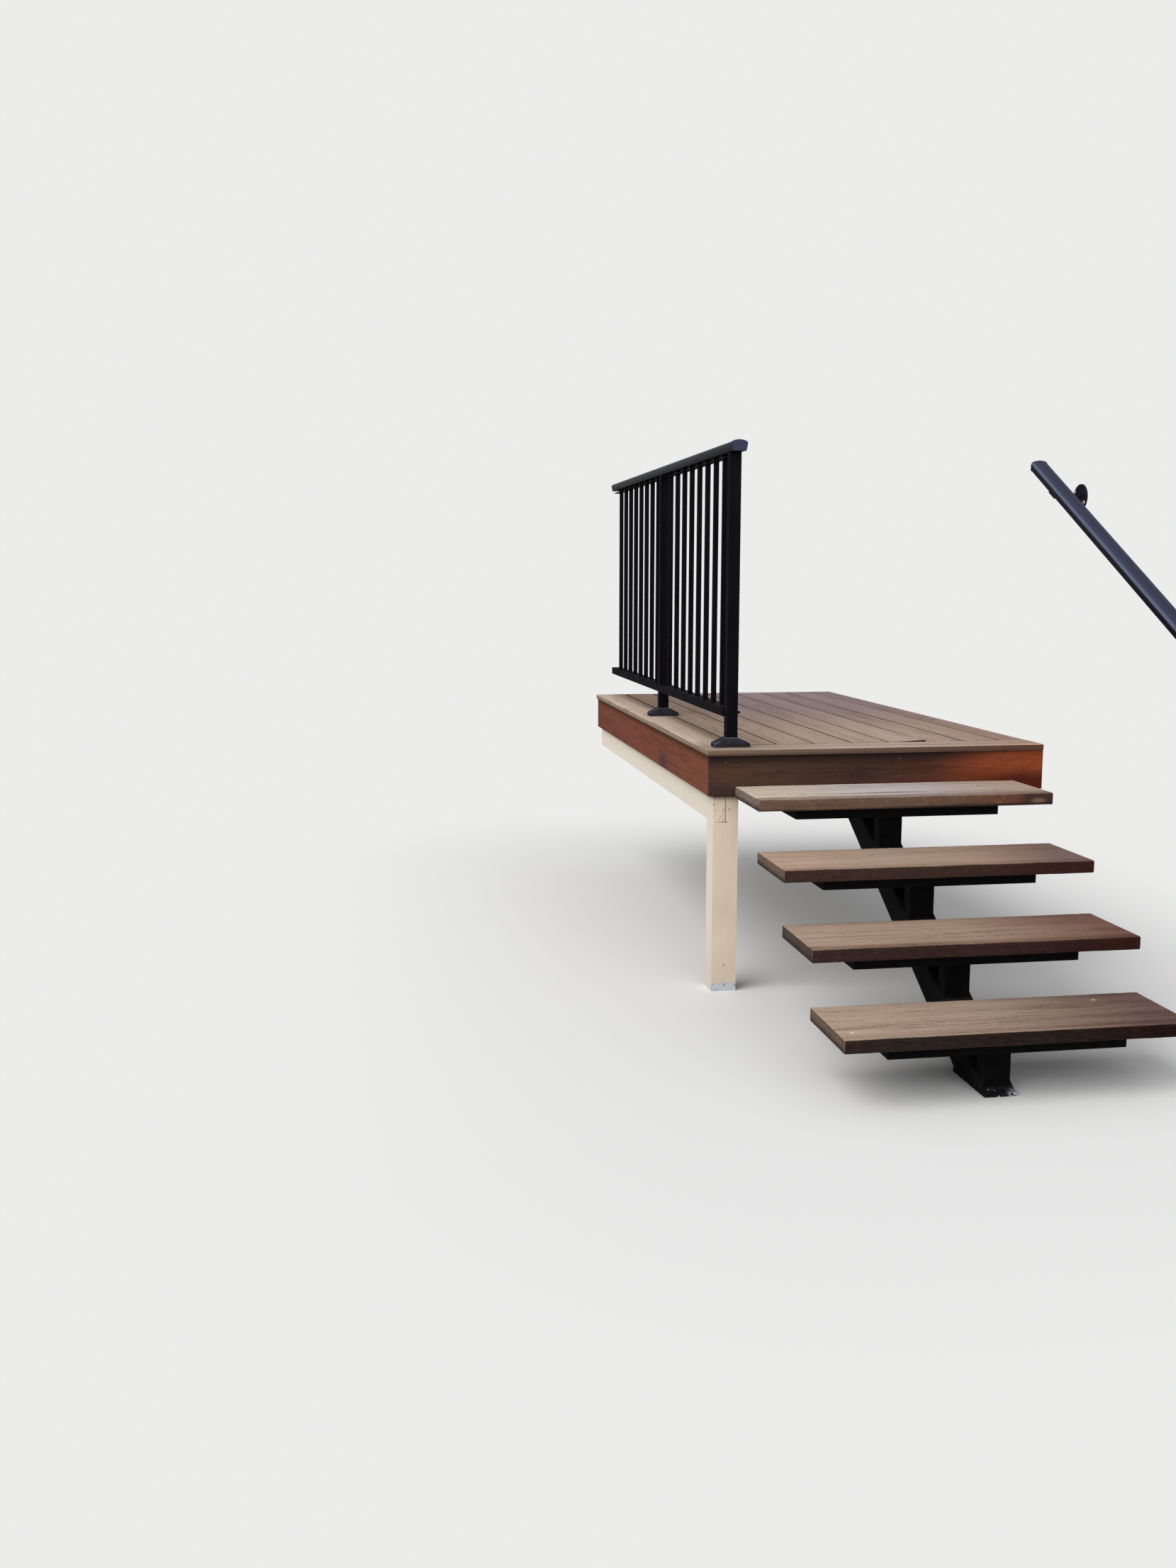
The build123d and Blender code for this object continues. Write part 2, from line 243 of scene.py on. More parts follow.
def where(tree):
    """The place of a point of the surface, in metres."""
    return add(tree, "TexCoord").outputs["Object"]


def place(tree):
    """The x, y and z of a point of the surface, in metres."""
    return split(where(tree))


def facing(tree):
    """The x, y and z of the flat surface's normal."""
    return split(add(tree, "NewGeometry").outputs["True Normal"])


def near_spot(tree, centre, size):
    """1 at a point of the object and 0 beyond an ellipsoid of the given half sizes around it."""
    offset = vectors("SUBTRACT", where(tree), centre)
    scaled = vectors("DIVIDE", offset, size)
    return between(vectors("LENGTH", scaled, output="Value"), 1.0, 0.2)


def new_material(name):
    """A material, its node tree and its empty surface shader."""
    material = bpy.data.materials.new(name)
    material.use_nodes = True
    tree = material.node_tree
    return material, tree, tree.nodes["Principled BSDF"]


def connect(shader, **inputs):
    names = {"colour": "Base Color", "roughness": "Roughness", "normal": "Normal"}
    for key, value in inputs.items():
        shader.id_data.links.new(value, shader.inputs[names[key]])


def varnish(shader, weight, roughness):
    """A thin clear gloss over a surface that is matt by itself."""
    shader.inputs["Specular IOR Level"].default_value = 0.0
    shader.inputs["Coat Weight"].default_value = weight
    shader.inputs["Coat Roughness"].default_value = roughness


def bump(height, distance):
    inputs = {"Height": height, "Distance": distance, "Strength": 1.0}
    return extend("Bump", inputs).outputs[0]


# Timber
def grain(tree, along, seed, plank=None):
    """Stretched noises that follow the grain: broad tone, streaks, growth lines and fine pores.

    plank is (start, pitch) across the grain, and gives each plank a piece of timber of its own.
    """
    x, y, z = place(tree)
    run, across = (x, y) if along == "x" else (y, x)
    number = seed
    if plank:
        start, pitch = plank
        steps = maths("DIVIDE", minus(across, start), pitch)
        number = plus(maths("FLOOR", steps), seed)
    own = add(tree, "TexWhiteNoise", {"W": number}, noise_dimensions="1D").outputs
    shift = vectors("MULTIPLY", own["Color"], (9.0, 9.0, 9.0))
    vector = vectors("ADD", combine(times(run, 0.05), across, z), shift)
    short = vectors("ADD", combine(times(run, 0.12), across, z), shift)
    contour = times(noise(vector, 7.0, detail=2.0, distortion=0.25), 15.0)
    return {
        "own": own["Value"],
        "vector": vector,
        "broad": noise(vector, 15.0, detail=3.0, distortion=0.4),
        "streak": noise(vector, 90.0, detail=6.0, roughness=0.7, distortion=0.4),
        "fine": noise(short, 300.0, roughness=0.7),
        "pores": noise(short, 700.0, detail=3.0, roughness=0.7),
        "lines": maths("PINGPONG", contour, 0.5),
    }


def weighted(part, **weights):
    """The grain's noises added up by their weights."""
    return plus(*(times(part[key], weight) for key, weight in weights.items()))


def timber(name, along, seed, tone, finish=None, plank=None, gloss=0.03, relief=0.5, contrast=0.85):
    """Weathered or oiled timber. tone gives the colour by place; finish paints over the grain."""
    material, tree, shader = new_material(name)
    part = grain(tree, along, seed, plank)
    value = weighted(part, broad=0.22, streak=0.30, fine=0.30, lines=0.06, pores=0.12)
    if plank:
        value = plus(value, times(minus(part["own"], 0.5), 0.05))
    base = tone(tree, part)
    dark = between(value, 0.49, 0.39)
    colour = shade(base, srgb(168, 154, 148), dark, contrast)
    light = shade(base, (1.34, 1.32, 1.28, 1), 1.0)
    colour = paint(colour, light, between(value, 0.48, 0.60), contrast)
    marks = between(noise(part["vector"], 46.0, detail=2.0), 0.69, 0.75)
    pores = between(part["pores"], 0.36, 0.26)
    pits = larger(times(marks, 0.5), times(pores, 0.4))
    colour = shade(colour, srgb(120, 100, 92), pits, contrast)
    if finish:
        colour = finish(tree, colour, part)
    height = weighted(part, streak=1.0, fine=0.8, pores=0.6, lines=0.3)
    rough = plus(times(part["streak"], 0.22), 0.58)
    connect(shader, colour=colour, roughness=rough, normal=bump(height, relief * MM))
    varnish(shader, gloss, 0.45)
    return material


def clouds(tree, scale, low, high):
    """Where dark cloudy marks lie over the grain."""
    return between(noise(where(tree), scale, detail=5.0, roughness=0.6), low, high)


def shaded_sides(tree):
    """Where faces turn to the side; the darker colour laid there is painted shade."""
    return times(between(facing(tree)[2], 0.75, 0.35), 0.9)


def deck_boards():
    """Tan near the steps, purple-grey towards the back, with dark arrises along the joints."""
    low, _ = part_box("field_boards")

    def tone(tree, part):
        x, y, _ = place(tree)
        cloud = drift(part["vector"], 8.0, 0.9, detail=3.0)
        across = plus(x, times(cloud, 0.3))
        tan = zones(across, -1.0, -0.1, (
            srgb(178, 158, 140), srgb(174, 154, 140), srgb(176, 155, 141), srgb(160, 137, 124)))
        back = between(plus(y, cloud), -0.75, 0.55)
        inner = between(across, -0.98, -0.72)
        return layers(tan, (
            (srgb(155, 134, 115), back, 0.8),
            (srgb(144, 127, 129), back, inner, 0.9)))

    def finish(tree, colour, part):
        off_middle = minus(place(tree)[0], low.x + BOARD_WIDTH / 2)
        aside = maths("PINGPONG", off_middle, BOARD_PITCH / 2)
        arris = between(aside, BOARD_WIDTH / 2 - 0.005, BOARD_WIDTH / 2 - 0.001)
        scuff = near_spot(tree, (-0.80, -0.80, low.z), (0.10, 0.22, 0.1))
        fleck = near_spot(tree, (-0.040, -0.282, DECK_TOP), (0.010, 0.016, 0.01))
        # Painted shadow in the slot under the warped board's front end.
        warped_end_shadow = near_spot(tree, (-0.40, low.y, DECK_TOP), (0.09, 0.010, 0.016))
        return layers(colour, (
            (srgb(58, 47, 43), arris, 0.6),
            (srgb(116, 98, 94), clouds(tree, 3.2, 0.60, 0.80), 0.4),
            (srgb(186, 166, 132), scuff, part["fine"], 0.5),
            (srgb(34, 30, 30), fleck),
            (srgb(26, 20, 19), warped_end_shadow),
            # Side faces, the joints' walls among them, are darkened as painted shade.
            (srgb(46, 36, 32), shaded_sides(tree))))

    plank = (low.x - (BOARD_PITCH - BOARD_WIDTH) / 2, BOARD_PITCH)
    return timber("deck_boards_wood", "y", 11.0, tone, finish, plank, contrast=0.55)


def left_border_wood():
    """Bleached along its outer half, where nothing stands, and brown under the rail."""
    low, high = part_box("left_border_board")

    def tone(tree, part):
        x, y, _ = place(tree)
        across = plus(x, drift(part["vector"], 20.0, 0.05))
        colour = zones(across, low.x + 0.02, low.x + 0.12, (
            srgb(206, 187, 170), srgb(186, 166, 150), srgb(136, 117, 103)))
        corner = between(y, low.y + 0.30, low.y + 0.08)
        return paint(colour, srgb(150, 134, 122), corner, 0.8)

    def finish(tree, colour, part):
        x, _, z = place(tree)
        arris = between(x, low.x + 0.008, low.x + 0.003)
        chips = between(noise(part["vector"], 70.0), 0.50, 0.60)
        fleck = near_spot(tree, (low.x + 0.040, 0.158, high.z), (0.007, 0.012, 0.01))
        under = between(z, high.z - 0.012, high.z - 0.018)
        return layers(colour, (
            (srgb(92, 74, 62), arris, chips, 0.75),
            (srgb(52, 43, 40), between(x, high.x - 0.006, high.x - 0.002), 0.85),
            (srgb(226, 222, 214), fleck),
            # Side faces take this darker colour as painted shade.
            (paint(srgb(150, 130, 108), srgb(92, 72, 58), under), shaded_sides(tree))))

    return timber("left_border_wood", "y", 17.0, tone, finish, relief=0.6, contrast=0.5)


def front_border_wood():
    """Tan on top, with an edge that is brown at the left and red-brown at the right."""
    _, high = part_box("front_border_board")

    def tone(tree, part):
        across = plus(place(tree)[0], drift(part["vector"], 9.0, 0.2))
        return zones(across, -1.05, -0.10, (
            srgb(159, 141, 125), srgb(180, 161, 149), srgb(182, 161, 147), srgb(178, 150, 132)))

    def finish(tree, colour, part):
        x, y, z = place(tree)
        edge = zones(x, -1.15, 0.0, (srgb(118, 97, 82), srgb(86, 67, 57), srgb(80, 41, 27)))
        under = between(z, high.z - 0.009, high.z - 0.015)
        edge = paint(edge, srgb(58, 42, 36), under, 0.7)
        inner = between(y, high.y - 0.006, high.y - 0.002)
        colour = paint(colour, srgb(84, 70, 62), inner, 0.7)
        # Side faces take the darker edge colour, partly as painted shade.
        return paint(colour, edge, shaded_sides(tree))

    return timber("front_border_wood", "x", 31.0, tone, finish, contrast=0.7)


# Each tread's top from its left end to its right, its front edge (dark wood with painted shade over
# it), end, worn rim and specks
TREAD_TOPS = {
    1: (srgb(180, 157, 139), srgb(162, 141, 125), srgb(110, 87, 82)),
    2: (srgb(172, 149, 132), srgb(165, 141, 123), srgb(118, 88, 79)),
    3: (srgb(181, 155, 137), srgb(170, 148, 132), srgb(164, 139, 121), srgb(122, 100, 95)),
    # The top tread's grey-blue middle stop is weathered grey with a painted sky sheen on it.
    4: (srgb(204, 189, 170), srgb(190, 180, 181), srgb(169, 150, 134)),
}
TREAD_EDGES = {1: srgb(19, 12, 14), 2: srgb(43, 29, 28), 3: srgb(47, 31, 29), 4: srgb(100, 78, 64)}
TREAD_ENDS = {
    1: srgb(112, 94, 82), 2: srgb(68, 63, 60), 3: srgb(110, 96, 88), 4: srgb(134, 118, 113),
}
TREAD_RIMS = {1: 0.35, 2: 0.75, 3: 0.45, 4: 0.9}
TREAD_SPECKS = {
    1: (srgb(226, 220, 210), (-0.266, -2.036), (-1.035, -2.212)),
    4: (srgb(66, 50, 44), (-0.902, -1.329), (-0.278, -1.250)),
}
TOP_TREAD = 4


def tread_edge_tone(tree, part, number):
    """A tread's front: dark wood darkened further as painted shade, mottled and redder towards the
    wall; the top tread's is blotched.
    """
    low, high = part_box(f"tread_{number}")
    vector = where(tree)
    x, _, z = split(vector)
    fine = between(part["fine"], 0.4, 0.65)
    edge = paint(TREAD_EDGES[number], srgb(150, 120, 104), fine, 0.03)
    mottle = between(noise(vector, 42.0, detail=5.0, roughness=0.7), 0.48, 0.66)
    edge = shade(edge, (1.9, 1.8, 1.7, 1), mottle, 0.45)
    edge = shade(edge, srgb(255, 208, 190), between(x, high.x - 0.45, high.x - 0.05))
    if number != TOP_TREAD:
        return edge
    patch = near_spot(tree, (-0.155, low.y, high.z - 0.026), (0.036, 0.03, 0.016))
    blotch = noise(part["vector"], 34.0, detail=5.0, roughness=0.7)
    ragged = plus(z, drift(part["vector"], 22.0, 0.05))
    return layers(edge, (
        (srgb(62, 44, 46), between(x, high.x - 0.13, high.x - 0.08)),
        (srgb(128, 100, 82), patch, 0.9),
        (srgb(64, 48, 46), between(blotch, 0.50, 0.66), 0.75),
        (srgb(36, 27, 30), between(ragged, low.z + 0.015, low.z + 0.006), 0.85)))


def tread_end_tone(tree, number):
    """A tread's rough-sawn end, darker towards its foot."""
    low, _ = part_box(f"tread_{number}")
    vector = where(tree)
    bowed = vectors("MULTIPLY", vector, (1.0, 0.35, 1.0))
    sawn = between(noise(bowed, 110.0, detail=5.0, roughness=0.7), 0.62, 0.40)
    end = paint(TREAD_ENDS[number], srgb(70, 58, 52), sawn, 0.55)
    foot = between(split(vector)[2], low.z + 0.022, low.z + 0.004)
    return paint(end, srgb(40, 30, 28), foot)


def tread_wood(number):
    """Bleached at the left and brown towards the wall."""
    low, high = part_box(f"tread_{number}")

    def tone(tree, part):
        along = plus(place(tree)[0], drift(part["vector"], 12.0, 0.35))
        return zones(along, low.x + 0.06, high.x - 0.08, TREAD_TOPS[number])

    def finish(tree, colour, part):
        front_rim = between(place(tree)[1], low.y + 0.06, low.y + 0.015)
        cloud = plus(noise(part["vector"], 22.0), 0.35)
        colour = shade(colour, srgb(172, 155, 148), front_rim, cloud, TREAD_RIMS[number])
        speck, *spots = TREAD_SPECKS.get(number, (None,))
        for x, y in spots:
            spot = near_spot(tree, (x, y, high.z), (0.009, 0.007, 0.01))
            colour = paint(colour, speck, spot, 0.85)
        if number == TOP_TREAD:
            knots = between(noise(part["vector"], 30.0, detail=1.0), 0.70, 0.76)
            colour = paint(colour, srgb(86, 66, 58), knots, 0.7)
        across, forward, up = facing(tree)
        end = between(maths("ABSOLUTE", across), 0.55, 0.9)
        return layers(colour, (
            # Front faces: dark wood with painted shade over it.
            (tread_edge_tone(tree, part, number), between(forward, -0.55, -0.9), 0.95),
            (tread_end_tone(tree, number), end, 0.9),
            # Down-facing faces darkened: painted shade.
            (srgb(70, 52, 44), between(up, -0.3, -0.8), 0.8)))

    seed = 50.0 + 7 * number
    return timber(f"tread_{number}_wood", "x", seed, tone, finish, relief=0.6, contrast=0.7)


def front_fascia_wood():
    """Dark stained to the left, fresh red-brown oil to the right, with a painted shadow under the
    nosing.
    """
    low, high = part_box("front_fascia")

    def tone(tree, part):
        along = plus(place(tree)[0], drift(part["vector"], 16.0, 0.22))
        return zones(along, -1.16, -0.02, (
            srgb(76, 54, 46), srgb(76, 57, 48), srgb(70, 50, 42), srgb(70, 49, 41),
            srgb(80, 49, 38), srgb(136, 69, 43), srgb(144, 72, 42)))

    def finish(tree, colour, part):
        x, _, z = place(tree)

        def band(z_none, z_full, x_none, x_full):
            return times(between(z, z_none, z_full), between(x, x_none, x_full))

        red = band(high.z - 0.07, low.z + 0.03, -0.95, -0.45)
        corner = near_spot(tree, (-1.11, low.y, 0.008), (0.13, 0.05, 0.038))
        foot = band(low.z + 0.05, low.z + 0.02, -0.75, -1.0)
        worn = band(high.z - 0.05, low.z + 0.03, -0.35, -0.10)
        # Painted shadow of the nosing along the fascia's top.
        nosing_shadow = band(high.z - 0.045, high.z - 0.005, -0.1, -0.4)
        return layers(colour, (
            (srgb(92, 48, 38), red, noise(part["vector"], 24.0), 0.6),
            (srgb(92, 62, 48), corner, 0.5),
            (srgb(60, 50, 48), foot, 0.5),
            (srgb(74, 24, 14), worn, 0.9),
            (srgb(40, 29, 28), nosing_shadow, 0.85),
            (srgb(44, 32, 28), clouds(tree, 5.0, 0.58, 0.75), 0.5)))

    return timber("front_fascia_wood", "x", 83.0, tone, finish,
                  gloss=0.08, relief=0.35, contrast=0.6)


def left_fascia_wood():
    """Red-brown, with one dark mark low down and a painted shadow under the border board."""
    low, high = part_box("left_fascia")

    def tone(tree, part):
        along = plus(place(tree)[1], drift(part["vector"], 14.0, 0.6))
        return zones(along, low.y, high.y, (
            srgb(127, 78, 61), srgb(124, 74, 59), srgb(120, 71, 58)))

    def finish(tree, colour, part):
        mark = near_spot(tree, (low.x, -0.40, low.z + 0.022), (0.05, 0.11, 0.055))
        # Painted shadow of the border board along the fascia's top.
        top = between(place(tree)[2], high.z - 0.030, high.z - 0.004)
        return layers(colour, (
            (srgb(74, 56, 56), mark, 0.75),
            (srgb(84, 50, 42), clouds(tree, 4.0, 0.58, 0.78), 0.5),
            (srgb(52, 32, 28), top, 0.6)))

    return timber("left_fascia_wood", "y", 97.0, tone, finish,
                  gloss=0.06, relief=0.35, contrast=0.6)


def framing_wood(name, along, seed):
    """Treated pine under the deck."""
    def tone(tree, part):
        return paint(srgb(150, 128, 90), srgb(168, 146, 106), part["own"])

    def finish(tree, colour, part):
        return paint(colour, srgb(96, 84, 62), clouds(tree, 6.0, 0.5, 0.8), 0.5)

    return timber(name, along, seed, tone, finish)


def shaded_rim_joist_wood():
    """The joist behind the fascia is dark all over: painted shade for the strip of it that shows
    below the fascia.
    """
    def tone(tree, part):
        return paint(srgb(44, 32, 26), srgb(58, 42, 34), part["own"])

    return timber("shaded_rim_joist_wood", "x", 133.0, tone)


# Paint on timber. Marks on the corner post's front are at (x, z).
POST_MARKS = ((-1.1405, -0.0945), (-1.088, -0.1124), (-1.1006, -0.6411))
BARE_FOOT_MARKS = ((-1.0984, -0.710), (-1.128, -0.700))


def post_mark(tree, x, z):
    """A small round mark on the post's front face."""
    return near_spot(tree, (x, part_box("corner_post")[0].y, z), (0.005, 0.01, 0.006))


def beam_end_grain(tree):
    """Diagonal saw marks that show through the paint on the beam's sawn end."""
    x, y, z = place(tree)
    low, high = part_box("outer_beam")
    slanted = minus(z, times(x, 0.9))
    along = times(plus(z, x), 0.10)
    marks = noise(combine(slanted, along, 0.0), 170.0, detail=2.0)
    on_end = between(y, low.y + 0.004, low.y + 0.001)
    beside_joint = between(x, high.x + 0.001, high.x - 0.002)
    over_joint = between(z, low.z - 0.001, low.z + 0.002)
    return times(between(marks, 0.52, 0.64), on_end, beside_joint, over_joint)


def joint_lines(tree):
    """The paint has cracked where the beam's end meets the post that it is let into."""
    vector = where(tree)
    x, _, z = split(vector)
    low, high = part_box("outer_beam")
    ragged = drift(vector, 45.0, 0.006)
    beside = maths("ABSOLUTE", plus(minus(x, high.x), ragged))
    under = maths("ABSOLUTE", plus(minus(z, low.z), ragged))
    over_foot = between(z, low.z - 0.002, low.z)
    upright = times(between(beside, 0.0018, 0.0008), over_foot)
    reach = between(x, high.x + 0.008, high.x + 0.005)
    fading = between(x, low.x - 0.01, high.x)
    level = times(between(under, 0.0016, 0.0008), reach, fading)
    on_front = between(facing(tree)[1], -0.5, -0.9)
    return times(larger(upright, level), on_front)


def cream_paint():
    """Brushed cream paint: grain faintly under it, dirt, a cracked joint and a flaked foot, with
    painted light on left faces and a painted shadow under the fascia.
    """
    material, tree, shader = new_material("cream_paint")
    vector = where(tree)
    z = split(vector)[2]
    upright = vectors("MULTIPLY", vector, (1.0, 1.0, 0.05))
    brush = noise(upright, 260.0, detail=3.0)
    cloud = noise(vector, 5.0)
    colour = ramp(cloud, [(0.3, srgb(230, 211, 187)), (0.7, srgb(243, 226, 203))])
    left = between(facing(tree)[0], -0.5, -0.9)
    specks = between(noise(vector, 130.0, detail=2.0), 0.74, 0.79)
    beam_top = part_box("outer_beam")[1].z
    # Painted shadow under the fascia, over the top of the beam and post.
    fascia_shadow = between(z, beam_top - 0.014, beam_top - 0.002)
    splash = between(z, GROUND + 0.24, GROUND + 0.02)
    flaked_to = times(noise(vector, 60.0), -0.050)
    bare = between(plus(z, flaked_to, times(left, 0.022)), GROUND + 0.003, GROUND)
    patches = between(noise(vector, 90.0), 0.54, 0.68)
    foot = paint(srgb(208, 210, 218), srgb(154, 152, 155), patches)
    foot = layers(foot, [
        (srgb(104, 102, 106), post_mark(tree, *spot), 0.8) for spot in BARE_FOOT_MARKS])
    lines = joint_lines(tree)
    colour = layers(colour, (
        # Left faces lightened: painted light.
        (srgb(240, 230, 214), left, 0.8),
        (srgb(190, 172, 146), between(brush, 0.45, 0.7), 0.10),
        (srgb(150, 132, 110), specks, 0.3),
        (srgb(176, 154, 126), beam_end_grain(tree), 0.55),
        (srgb(112, 92, 76), fascia_shadow, cloud),
        (srgb(182, 164, 140), splash, cloud, 0.35),
        (foot, bare),
        *((srgb(120, 100, 82), post_mark(tree, *spot), 0.7) for spot in POST_MARKS),
        (srgb(92, 76, 60), lines, 0.75)))
    height = minus(times(brush, 0.5), times(lines, 2.0))
    height = minus(height, bare)
    connect(shader, colour=colour, normal=bump(height, 0.3 * MM))
    shader.inputs["Roughness"].default_value = 0.5
    shader.inputs["Specular IOR Level"].default_value = 0.2
    return material


# Metal
def black_steel():
    """Satin black paint on steel, dusty on top, chipped to grey primer at the foot's toe, with left
    faces lightened as painted light.
    """
    material, tree, shader = new_material("black_steel_paint")
    vector = where(tree)
    z = split(vector)[2]
    across, _, up = facing(tree)
    low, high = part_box("stringer_base_plate")
    mottle = noise(vector, 35.0, detail=5.0)
    colour = ramp(mottle, [(0.35, srgb(9, 9, 10)), (0.7, srgb(17, 16, 18))])
    toe = near_spot(tree, (high.x - 0.008, low.y, GROUND + 0.006), (0.030, 0.03, 0.026))
    toe_chips = times(toe, between(noise(vector, 150.0), 0.44, 0.50))
    ankle = between(z, GROUND + 0.03, GROUND)
    flakes = times(ankle, between(noise(vector, 90.0), 0.64, 0.68))
    chips = larger(toe_chips, flakes)
    plate = between(z, GROUND + 0.014, GROUND + 0.010)
    colour = layers(colour, (
        # Left faces lightened: painted light.
        (srgb(30, 29, 30), between(across, -0.5, -0.9), 0.8),
        (srgb(72, 67, 62), between(up, 0.3, 0.8), mottle, 0.4),
        (srgb(176, 174, 178), chips),
        (srgb(27, 26, 34), plate, minus(1.0, chips), 0.6)))
    height = minus(noise(vector, 320.0, detail=2.0), chips)
    rough = plus(times(mottle, 0.3), 0.32)
    connect(shader, colour=colour, roughness=rough, normal=bump(height, 0.25 * MM))
    varnish(shader, 0.04, 0.4)
    return material


def powder_finish(tree, shader, colour, mottle, roughness, gloss):
    """A powder coat's fine orange peel under a thin gloss."""
    peel = noise(where(tree), 900.0, detail=2.0)
    rough = plus(times(mottle, 0.16), roughness)
    connect(shader, colour=colour, roughness=rough, normal=bump(peel, 0.05 * MM))
    varnish(shader, gloss, 0.3)


def black_coat(name, dark, pale):
    """Satin black powder coat, a little dusty on top."""
    material, tree, shader = new_material(name)
    mottle = noise(where(tree), 14.0)
    colour = ramp(mottle, [(0.3, dark), (0.75, pale)])
    upward = between(facing(tree)[2], 0.5, 0.95)
    dust = between(mottle, 0.35, 0.8)
    colour = paint(colour, srgb(84, 82, 84), upward, dust, 0.35)
    powder_finish(tree, shader, colour, mottle, roughness=0.30, gloss=0.05)
    return material


def rail_coat(name, tone):
    """Powder coat on a moulded rail; tone gives the colour by place and by the smooth normal, which
    lays painted light and shade on it.
    """
    material, tree, shader = new_material(name)
    vector = where(tree)
    across, _, up = split(add(tree, "NewGeometry").outputs["Normal"])
    mottle = noise(vector, 9.0)
    colour = tone(tree, across, up)
    colour = shade(colour, (0.6, 0.6, 0.62, 1), mottle, 0.5)
    speckle = between(noise(vector, 500.0, detail=2.0), 0.56, 0.66)
    colour = paint(colour, srgb(120, 124, 140), speckle, 0.12)
    powder_finish(tree, shader, colour, mottle, roughness=0.28, gloss=0.10)
    return material


def top_rail_coat():
    """The crown carries a painted sky reflection, the shoulder is navy and the drawn-in foot a dull
    grey; the side's darkening downwards, its lightening farther along and the black underside are
    painted light and shade.
    """
    low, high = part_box("top_rail")

    def tone(tree, across, up):
        _, y, z = place(tree)
        # The side's tones by height are painted light and shade.
        side = zones(z, low.z, high.z - 0.008, (
            srgb(20, 19, 21), srgb(34, 33, 36), srgb(52, 54, 60), srgb(50, 53, 64)))
        # Lighter farther along the rail: painted light.
        farther = between(y, low.y + 0.1, low.y + 0.8)
        return layers(shade(side, (1.6, 1.55, 1.55, 1), farther), (
            # Painted sky reflection on the crown.
            (srgb(92, 96, 114), between(up, 0.25, 0.80)),
            # Painted shade on the underside.
            (srgb(14, 13, 17), between(up, -0.5, -0.8))))

    return rail_coat("top_rail_powder_coat", tone)


def end_cap_coat():
    """A slate-blue face with darker rounded edges, lighter where it faces up as painted light."""
    low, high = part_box("top_rail_end_cap")
    middle = (low.x + high.x) / 2
    half = high.x - middle

    def tone(tree, across, up):
        x, _, z = place(tree)
        sides = between(maths("ABSOLUTE", minus(x, middle)), half - 0.006, half - 0.001)
        rim = larger(sides, between(z, low.z + 0.004, low.z + 0.001))
        face = paint(srgb(60, 64, 84), srgb(38, 40, 52), rim, 0.75)
        # Lighter on upward faces: painted light.
        return paint(face, srgb(66, 70, 88), between(up, 0.3, 0.8))

    return rail_coat("end_cap_powder_coat", tone)


def handrail_coat():
    """A painted highlight streak along the shoulder away from the wall, painted light and shade
    across the top, and black underneath as painted shade.
    """
    def tone(tree, across, up):
        # Tones across the top by the normal: painted light and shade.
        top = zones(across, -0.56, 0.56, (
            srgb(72, 78, 100), srgb(57, 60, 81), srgb(48, 51, 69),
            srgb(60, 64, 80), srgb(82, 87, 101)))
        return layers(top, (
            # Painted highlight streak on the outer shoulder.
            (srgb(96, 104, 127), between(across, -0.55, -0.80)),
            # Painted shade on the shoulder by the wall.
            (srgb(34, 34, 44), between(across, 0.60, 0.85)),
            # Painted shade underneath.
            (srgb(20, 20, 31), between(up, 0.20, -0.15))))

    return rail_coat("handrail_powder_coat", tone)


def cast_cover():
    """Cast base covers: greyed black with patchy painted highlights along the ridges and a fine
    sand grain.
    """
    material, tree, shader = new_material("cast_cover_paint")
    vector = where(tree)
    cloud = noise(vector, 40.0)
    colour = ramp(cloud, [(0.3, srgb(30, 30, 35)), (0.75, srgb(50, 50, 58))])
    rounded = add(tree, "Bevel", {"Radius": 2.5 * MM}, samples=6).outputs[0]
    normal = add(tree, "NewGeometry").outputs["True Normal"]
    agree = vectors("DOT_PRODUCT", rounded, normal, output="Value")
    ridge_highlight, patchy_highlight = between(agree, 0.995, 0.95), between(cloud, 0.35, 0.6)
    dirt = between(split(vector)[2], DECK_TOP + 0.006, DECK_TOP)
    colour = layers(colour, (
        # Painted highlight along the ridges, in patches.
        (srgb(150, 152, 166), ridge_highlight, patchy_highlight, 0.85),
        (srgb(88, 76, 68), dirt, 0.5)))
    sand = noise(vector, 700.0, detail=3.0)
    connect(shader, colour=colour, normal=bump(sand, 0.12 * MM))
    shader.inputs["Roughness"].default_value = 0.45
    varnish(shader, 0.10, 0.4)
    return material


def bright_metal(name, clean, dull, roughness):
    """Zinc or weathered steel for screws, nails and bolts."""
    material, tree, shader = new_material(name)
    mask = noise(where(tree), 400.0, detail=3.0)
    colour = ramp(mask, [(0.35, dull), (0.65, clean)])
    connect(shader, colour=colour, normal=bump(mask, 0.1 * MM))
    shader.inputs["Metallic"].default_value = 0.7
    shader.inputs["Roughness"].default_value = roughness
    return material


# Profiles of turned fixings: (radius, height) in mm from the rim to the crown
NAIL = ((1.9, -0.4), (1.9, 0.1), (1.2, 0.35), (0.0, 0.4))
DECK_SCREW = ((3.6, -0.8), (3.6, -0.1), (3.2, 0.12), (1.5, 0.0), (1.0, -0.7), (0.0, -0.8))
PAN_HEAD = ((5.8, -1.0), (5.8, 0.9), (4.9, 2.2), (3.0, 2.9), (1.6, 2.7), (1.0, 1.4), (0.0, 1.2))
RIVET = ((3.4, -0.4), (3.4, 0.5), (2.6, 1.2), (1.2, 1.5), (0.0, 1.5))
PLUG = ((4.6, -0.5), (4.6, 0.5), (3.8, 1.1), (0.0, 1.3))
WASHER = ((12.5, -0.5), (12.5, 1.8), (12.0, 2.2), (0.0, 2.2))
HEXAGON = ((7.5, 2.0), (7.5, 7.4), (6.6, 8.2), (0.0, 8.2))

